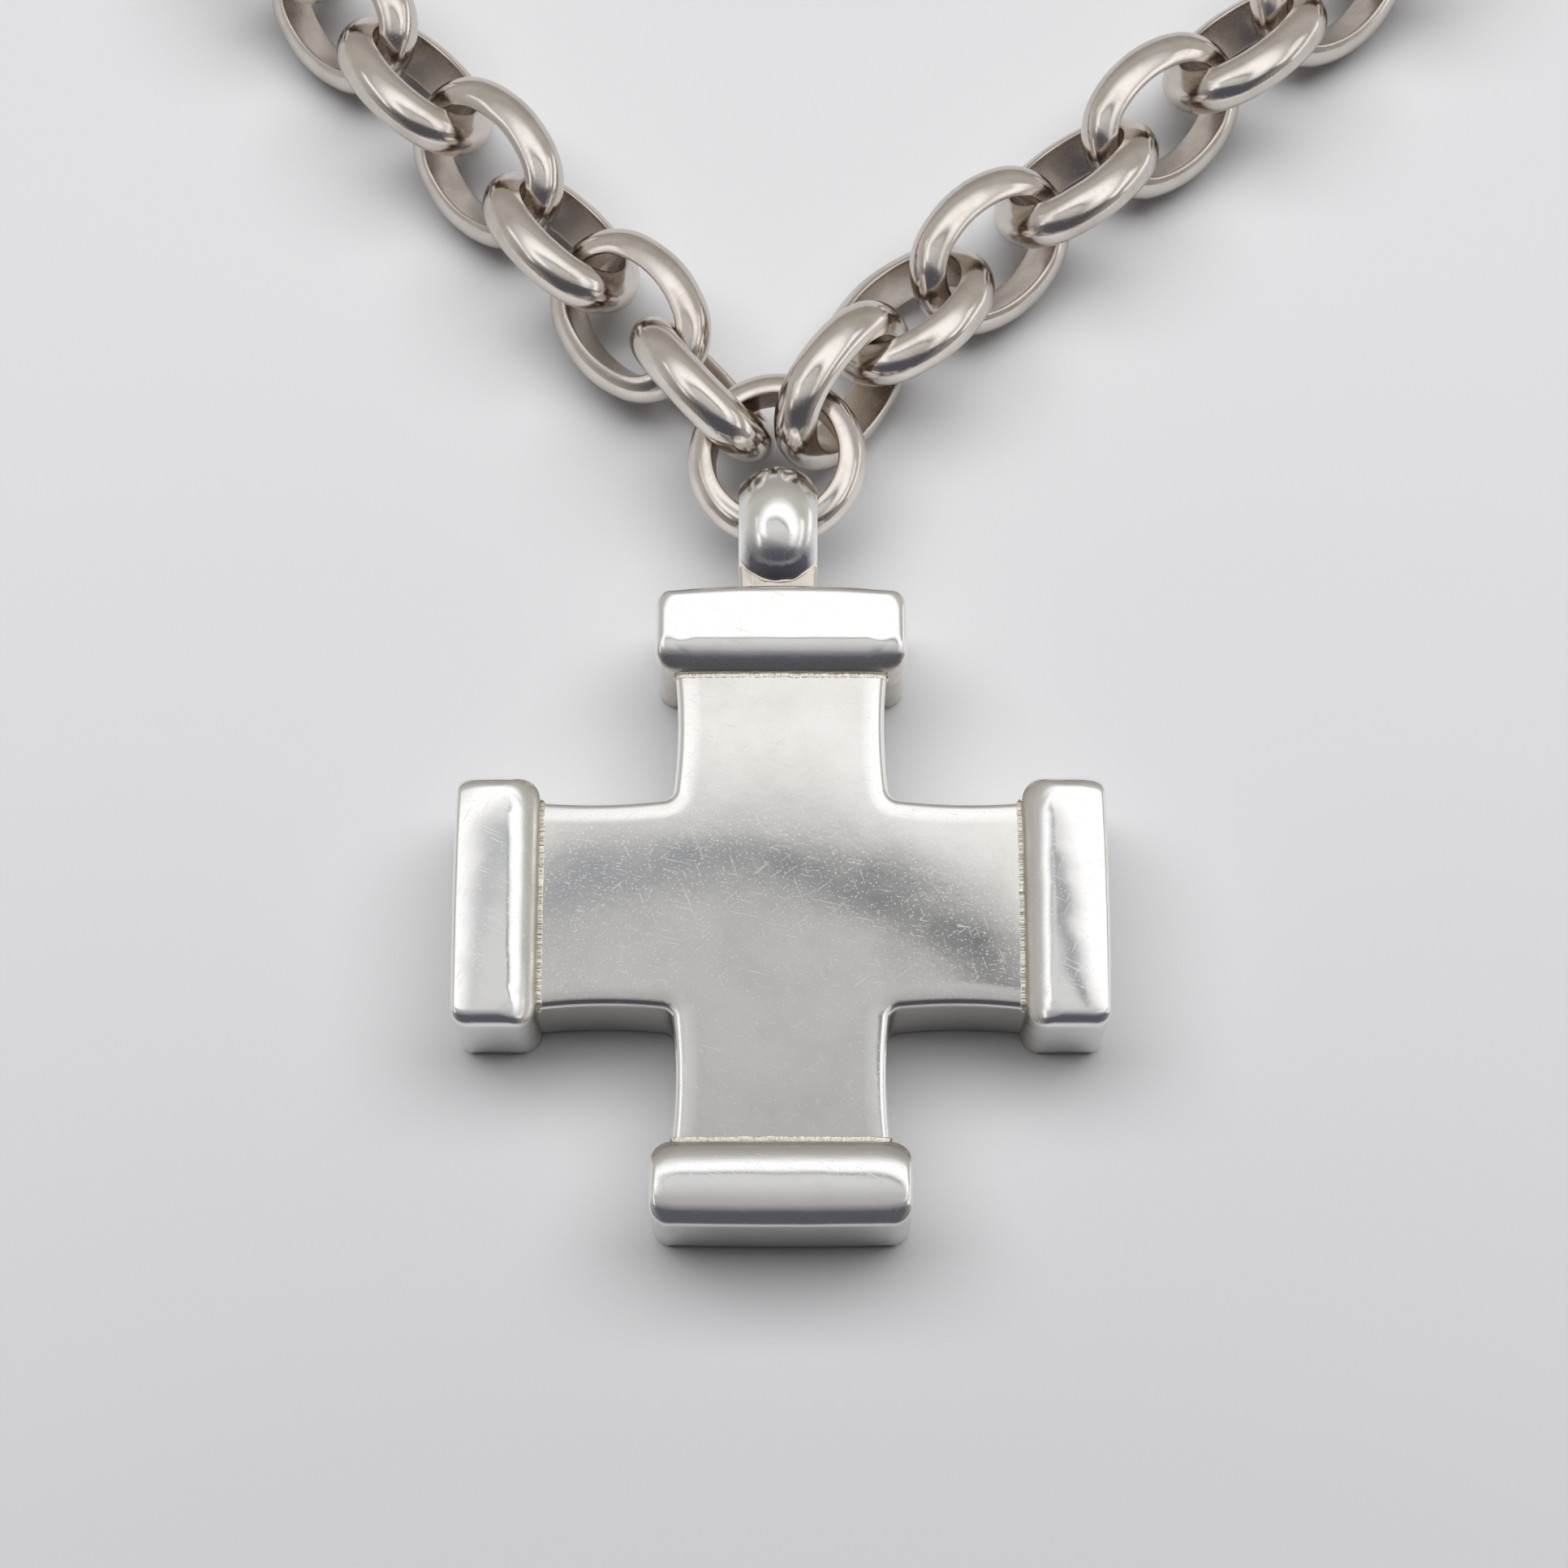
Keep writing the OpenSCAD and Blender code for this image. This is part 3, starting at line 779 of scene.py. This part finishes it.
# Where a side's k-th link lies: three have places of their own, the others follow the loop and are rolled
# to one side and the other by turns
def linkPlace(side, k):
    if k <= 3:
        return nearLinks[side][k - 1]
    way = leftLead + wayTo(k) if side == "l" else loopLength - rightLead - wayTo(k)
    middle, heading = onLoop(way)
    roll = chain["roll"] if k % 2 else -chain["roll"]
    return (middle[0], middle[1], chain["height"]), heading + (0 if side == "l" else 180), 0, roll


# A link: a half-round bar round a four-centre oval, made uneven and put in its place
def linkGrid(side, k):
    domePoints, flatPoints, stations = chain["fineMesh" if k <= chain["fineLinks"] else "plainMesh"]
    profile = halfRound(chain["wall"], chain["barWidth"], chain["barWidth"] / 2, chain["rim"],
                        domePoints, flatPoints)
    grid = ovalBar(chain["length"] / 2, chain["width"] / 2, chain["endRadius"], profile, stations)
    # the inside of both ends, where the neighbours rub, is sheltered most
    ends = np.clip((np.abs(grid[..., 1]) - 3.2) / 1.6, 0, 1)
    shelter = shelterOf(profile, chain["wall"], stations) * (0.55 + 0.45 * ends)
    seed = 100 + 2 * k + (side == "r")
    return placed(roughenBar(grid, seed, chain["unevenness"], 2.5), linkPlace(side, k)), shelter


for side, word in (("l", "Left"), ("r", "Right")):
    for k in range(1, chain["ownLinks"] + 1):
        grid, shelter = linkGrid(side, k)
        barPiece(f"link{word}{k:02d}", [grid], [shelter], chainSilver, f"link_{side}{k:02d}")
    for run in (1, 2):
        first = chain["ownLinks"] + 1 + (run - 1) * chain["runLinks"]
        grids, shelters = zip(*[linkGrid(side, k) for k in range(first, first + chain["runLinks"])])
        barPiece(f"chainRun{word}{run}", grids, shelters, chainSilver, f"run_{side}{run}")
print("chain built, loop", round(loopLength, 1), "mm")


# Plain barrel clasp: a profile turned round the long axis, and a round-wire eye at each end
def buildClasp():
    r, half, tip = clasp["diameter"] / 2, clasp["length"] / 2, clasp["length"] / 2 + clasp["dome"]
    aroundPoints, wirePoints = clasp["aroundPoints"], clasp["wirePoints"]
    y = np.concatenate([np.linspace(-tip, -half, 10), np.linspace(-half, half, 12)[1:-1],
                        np.linspace(half, tip, 10)])
    over = np.clip(np.abs(y) - half, 0, None)
    radius = np.sqrt(np.clip(r ** 2 - over ** 2, 0, None))
    radius[[0, -1]] = 0.01
    turn = np.linspace(0, 2 * math.pi, aroundPoints, endpoint=False)
    barrel = np.stack([radius[:, None] * np.cos(turn), np.broadcast_to(y[:, None], (len(y), aroundPoints)),
                       radius[:, None] * np.sin(turn)], -1)
    middle, heading = onLoop(leftLead + wayTo(chain["perSide"]) + claspSpan / 2)
    place = ((middle[0], middle[1], chain["height"]), heading, 0, 0)
    points = [placed(barrel.reshape(-1, 3), place)]
    faces = [gridFaces(len(y), aroundPoints, False, True)]
    start = len(y) * aroundPoints
    wireTurn = np.linspace(0, 2 * math.pi, wirePoints, endpoint=False)
    wire = (clasp["wire"] / 2 * (1 - np.cos(wireTurn)), clasp["wire"] / 2 * np.sin(wireTurn))
    outside = clasp["eyeRadius"] + clasp["wire"] / 2
    for end in (-1, 1):
        eye = ovalBar(outside, outside, outside, wire, aroundPoints)
        flat = placed(eye.reshape(-1, 3), ((0, end * claspEye, 0), 0, 0, -end * chain["roll"]))
        points.append(placed(flat, place))
        faces.append(gridFaces(aroundPoints, wirePoints, True, True, start))
        start += aroundPoints * wirePoints
    piece = newPiece("barrelClasp", np.concatenate(points), np.concatenate(faces), capSilver, 50)
    finishPiece(piece, "clasp")


buildClasp()
print("clasp built")


# Studio: floor, light and camera

studio = {
    "floor": "E9E9EB",
    "floorSize": 6000,
    "floorDrop": 0.01,
    "shade": 0.75,
    "shadeMiddle": (0, -0.14, 0),
    "shadeReach": (0.05, 0.2),
    # steps of painted shade in what mirrors see of the floor: from and to along Y, and its tone before and after
    "mirrored": [(-0.06, 0.025, 0.62, 1.0), (-0.075, -0.018, 0.25, 1.0), (0.025, 0.04, 1.0, 0.82)],
    "keyPower": 544.0,
    "keySize": (12.0, 4.4),
    "keyDistance": 6.0,
    "keyElevation": 68,
    "camera": (0.00018, -0.0599, 0.2212),
    "cameraTilt": 17.5,
    "lens": 83.16,
}


# A flat square whose points stand at the same places along X and Y
def flatSheet(name, line, height, material):
    x, y = np.meshgrid(line, line, indexing="ij")
    points = np.stack([x, y, np.full_like(x, height)], -1).reshape(-1, 3) * mm
    mesh = bpy.data.meshes.new(name)
    mesh.from_pydata(points.tolist(), [], gridFaces(len(line), len(line)).tolist())
    mesh.materials.append(material)
    sheet = bpy.data.objects.new(name, mesh)
    bpy.context.collection.objects.link(sheet)
    return sheet


# The surface that the necklace lies on, wide enough to fill every view
def buildFloor():
    material = bpy.data.materials.new("mattPaper")   # matt white paper: no gloss, a soft fall of tone
    tree = emptyTree(material)
    objectPlace = addNode(tree, "TexCoord").outputs["Object"]
    parts = addNode(tree, "SeparateXYZ", [objectPlace])
    # a wide, light shade in front of the cross
    away = addNode(tree, "VectorMath", [objectPlace, studio["shadeMiddle"]], operation="DISTANCE").outputs["Value"]
    shade = addNode(tree, "MapRange", [away, *studio["shadeReach"], studio["shade"], 1.0],
                    interpolation_type="SMOOTHSTEP")
    # painted shade that only mirrors see: the floor darker much in front of the cross, and a little from the chain
    # on
    mirrored = None
    for step in studio["mirrored"]:
        step = addNode(tree, "MapRange", [parts.outputs["Y"], *step], interpolation_type="SMOOTHSTEP")
        mirrored = step if mirrored is None else addNode(tree, "Math", [mirrored, step], operation="MULTIPLY")
    rays = addNode(tree, "LightPath")
    fade = addNode(tree, "Mix", {0: rays.outputs["Is Glossy Ray"], 2: shade, 3: mirrored}, data_type="FLOAT")
    colour = addNode(tree, "Mix", {0: fade, 6: (0, 0, 0, 1), 7: hexToLinear(studio["floor"])}, data_type="RGBA")
    shader = addNode(tree, "BsdfDiffuse", {"Color": colour.outputs[2]})
    addNode(tree, "OutputMaterial", {"Surface": shader})
    line = np.linspace(-1, 1, 41) ** 3 * studio["floorSize"]    # points stand closer together in the middle
    floor = flatSheet("studioFloor", line, -studio["floorDrop"], material)


# Broad soft light from above and a little behind, seen by matt surfaces and not by mirrors
def buildKey():
    light = bpy.data.lights.new("softKey", "AREA")
    light.shape = "RECTANGLE"
    light.size, light.size_y = studio["keySize"]
    light.energy = studio["keyPower"]
    key = bpy.data.objects.new("softKey", light)
    up = math.radians(studio["keyElevation"])
    distance = studio["keyDistance"]
    key.location = (0.0, distance * math.cos(up), distance * math.sin(up))
    key.rotation_euler = (math.radians(studio["keyElevation"] - 90), 0, 0)
    key.visible_glossy = False
    bpy.context.collection.objects.link(key)


# What the metal mirrors from close above: a round grey opening with a dark rim, cut straight on its left,
# inside a white arch that fades outwards, dims towards -Y and is open there. Places are in millimetres
panel = {
    "height": 108.0,
    "size": 330.0,
    "openingMiddle": (-11.5, -31, 108),
    "openingRadius": 66.0,
    "leftCut": -44.0,
    "edge": 20.0,            # to both sides of the opening's edge, where the tones below begin and end
    "tones": [(0.56, 0.56), (0.72, 0.73), (0.82, 0.88), (1.0, 1.0)],     # from the opening to the white
    "rim": [(0.38, 0.0), (0.44, 1.0), (0.55, 1.0), (0.64, 0.0)],
    "rimTones": (0.34, 0.15),        # of its left and its right end
    "archMiddle": (12, -20, 108),
    "archRadius": 89.0,
    "archTones": [(0.1, 1.0), (0.35, 0.85), (0.6, 0.55), (1.0, 0.42)],
    "white": 1.2,
    "dim": 0.68,             # towards -Y
}


def buildPanel():
    material = bpy.data.materials.new("softPanel")
    tree = emptyTree(material)
    objectPlace = addNode(tree, "TexCoord").outputs["Object"]
    place = addNode(tree, "VectorMath", {0: objectPlace, "Scale": 1000.0}, operation="SCALE")
    parts = addNode(tree, "SeparateXYZ", [place])
    x, y = parts.outputs["X"], parts.outputs["Y"]
    # distance outside the opening: beyond its circle or left of its cut
    away = addNode(tree, "VectorMath", [place, panel["openingMiddle"]], operation="DISTANCE").outputs["Value"]
    away = addNode(tree, "Math", [away, panel["openingRadius"]], operation="SUBTRACT")
    cut = addNode(tree, "Math", [panel["leftCut"], x], operation="SUBTRACT")
    away = addNode(tree, "Math", [away, cut, 3.0], operation="SMOOTH_MAX")
    part = addNode(tree, "MapRange", [away, -panel["edge"], panel["edge"]])
    # grey inside, white outside, and along the top a dark rim between them, a little blue
    plain = addNode(tree, "ValToRGB", {"Fac": part}, stops=panel["tones"])
    rim = addNode(tree, "ValToRGB", {"Fac": part}, stops=panel["rim"])
    top = addNode(tree, "MapRange", [y, -10.0, 8.0])
    rim = addNode(tree, "Math", [rim, top], operation="MULTIPLY")
    inner = addNode(tree, "MapRange", [x, -46.0, -34.0, 0.25, 1.0])
    rim = addNode(tree, "Math", [rim, inner], operation="MULTIPLY")
    dark = addNode(tree, "MapRange", [x, -25.0, 25.0, *panel["rimTones"]])
    dark = addNode(tree, "Mix", {0: 1.0, 6: dark.outputs[0], 7: (0.95, 1.0, 1.1, 1)}, data_type="RGBA",
                   blend_type="MULTIPLY").outputs[2]
    tone = addNode(tree, "Mix", {0: rim, 6: plain, 7: dark}, data_type="RGBA").outputs[2]
    dim = addNode(tree, "MapRange", [y, -36.0, 4.0, panel["dim"], 1.0])
    # the arch fades outside its own circle, and ends before the sheet does
    beyond = addNode(tree, "VectorMath", [place, panel["archMiddle"]], operation="DISTANCE").outputs["Value"]
    beyond = addNode(tree, "MapRange", [beyond, panel["archRadius"] - 10, panel["archRadius"] + 70])
    fade = addNode(tree, "ValToRGB", {"Fac": beyond}, stops=panel["archTones"])
    for layer in (dim, fade):
        tone = addNode(tree, "Mix", {0: 1.0, 6: tone, 7: layer}, data_type="RGBA", blend_type="MULTIPLY").outputs[2]
    edge = addNode(tree, "MapRange", [beyond, 0.75, 0.95, 1.0, 0.0])
    # it is open below a slanting line
    low = addNode(tree, "Math", [x, 0.25, y], operation="MULTIPLY_ADD")
    shown = addNode(tree, "MapRange", [low, -50.0, -32.0])
    shown = addNode(tree, "Math", [shown, edge], operation="MULTIPLY")
    glow = addNode(tree, "Emission", {"Color": tone, "Strength": panel["white"]})
    clear = addNode(tree, "BsdfTransparent")
    mix = addNode(tree, "MixShader", [shown, clear, glow])
    addNode(tree, "OutputMaterial", {"Surface": mix})
    line = np.linspace(-panel["size"] / 2, panel["size"] / 2, 21)
    sheet = flatSheet("lightPanel", line, panel["height"], material)
    sheet.visible_camera = False
    sheet.visible_diffuse = False
    sheet.visible_shadow = False
    sheet.visible_transmission = False


# The room as mirrors see it, by direction: P = (x, y) / (1 + z), so P = 0 is straight up and 1 the horizon.
# Pale towards +Y, dark towards -Y, with soft vertical strips at the sides
room = {
    # places from P = -1.2 to 1.2 along Y
    "tones": [(0.0, "56575F"), (0.325, "56575F"), (0.37, "8A878C"), (0.42, "AAA7A8"), (0.5, "B4B3B0"),
              (0.69, "BAB7B1"), (0.79, "A5A19D"), (1.0, "9B9692")],
    "besideDark": "8B8682",
    "sideWalls": "D6D4D0",
    # middle and half width of each strip along X, and the two places along Y that it runs between
    "strips": [(-0.455, 0.035, -0.3, 0.1), (0.55, 0.06, -0.3, 0.1), (0.45, 0.012, -0.3, 0.1),
               (0.86, 0.06, -0.3, 0.4)],
    "stripTone": 1.2,
    "background": "DCDCDE",  # as the camera sees it past the floor
    "fill": 0.06,            # light on matt surfaces
}


# A ramp of tones along P's Y, and the sides, walls and strips mixed over it
def buildWorld():
    world = bpy.data.worlds.new("studioRoom")
    bpy.context.scene.world = world
    tree = emptyTree(world)
    direction = addNode(tree, "TexCoord").outputs["Generated"]
    parts = addNode(tree, "SeparateXYZ", [direction])
    # a little more than 1, so that straight down has a place too
    under = addNode(tree, "Math", [parts.outputs["Z"], 1.02], operation="ADD")
    px = addNode(tree, "Math", [parts.outputs["X"], under], operation="DIVIDE")
    py = addNode(tree, "Math", [parts.outputs["Y"], under], operation="DIVIDE")
    height = addNode(tree, "MapRange", [py, -1.2, 1.2])
    tone = addNode(tree, "ValToRGB", {"Fac": height}, stops=[(at, hexToLinear(code)) for at, code in room["tones"]])
    # to both sides the dark gives way to a warm grey
    aside = addNode(tree, "Math", [px], operation="ABSOLUTE")
    aside = addNode(tree, "MapRange", [aside, 0.38, 0.65])
    below = addNode(tree, "MapRange", [py, -0.35, -0.25, 1.0, 0.0])
    aside = addNode(tree, "Math", [aside, below], operation="MULTIPLY")
    tone = addNode(tree, "Mix", {0: aside, 6: tone.outputs[0], 7: hexToLinear(room["besideDark"])},
                   data_type="RGBA").outputs[2]
    # the side walls brighten towards the horizon
    rise = addNode(tree, "MapRange", [parts.outputs["Z"], 0.0, 0.3, 1.0, 0.0])
    behind = addNode(tree, "MapRange", [py, -0.6, -0.1])
    ahead = addNode(tree, "MapRange", [py, 0.3, 0.6, 1.0, 0.0])
    rise = addNode(tree, "Math", [rise, behind], operation="MULTIPLY")
    rise = addNode(tree, "Math", [rise, ahead], operation="MULTIPLY")
    tone = addNode(tree, "Mix", {0: rise, 6: tone, 7: hexToLinear(room["sideWalls"])}, data_type="RGBA").outputs[2]
    strips = None
    for middle, half, low, high in room["strips"]:
        away = addNode(tree, "Math", [px, middle], operation="SUBTRACT")
        away = addNode(tree, "Math", [away], operation="ABSOLUTE")
        side = addNode(tree, "MapRange", [away, half, half + 0.02, 1.0, 0.0])
        lower = addNode(tree, "MapRange", [py, low - 0.05, low])
        upper = addNode(tree, "MapRange", [py, high, high + 0.05, 1.0, 0.0])
        strip = addNode(tree, "Math", [side, lower], operation="MULTIPLY")
        strip = addNode(tree, "Math", [strip, upper], operation="MULTIPLY")
        strips = strip if strips is None else addNode(tree, "Math", [strips, strip], operation="ADD")
    white, fill = (room["stripTone"],) * 3 + (1,), (room["fill"],) * 3 + (1,)
    seen = addNode(tree, "Mix", {0: strips, 6: tone, 7: white}, data_type="RGBA").outputs[2]
    rays = addNode(tree, "LightPath")
    plain = addNode(tree, "Mix", {0: rays.outputs["Is Camera Ray"], 6: fill, 7: hexToLinear(room["background"])},
                    data_type="RGBA").outputs[2]
    light = addNode(tree, "Mix", {0: rays.outputs["Is Glossy Ray"], 6: plain, 7: seen}, data_type="RGBA").outputs[2]
    glow = addNode(tree, "Background", {"Color": light, "Strength": 1.0})
    addNode(tree, "OutputWorld", {"Surface": glow})


# A pinhole above the foot of the cross, tilted from straight down by cameraTilt
def buildCamera():
    data = bpy.data.cameras.new("photoCamera")
    data.lens = studio["lens"]
    data.sensor_width = 36
    data.clip_start = 0.005
    data.clip_end = 20
    camera = bpy.data.objects.new("photoCamera", data)
    camera.location = studio["camera"]
    camera.rotation_euler = (math.radians(studio["cameraTilt"]), 0, 0)
    bpy.context.collection.objects.link(camera)
    bpy.context.scene.camera = camera


buildFloor()
buildKey()
buildPanel()
buildWorld()
buildCamera()
bpy.context.scene.view_settings.view_transform = "Standard"   # plain tones, so white panels burn out as in a photo
print("studio ready")
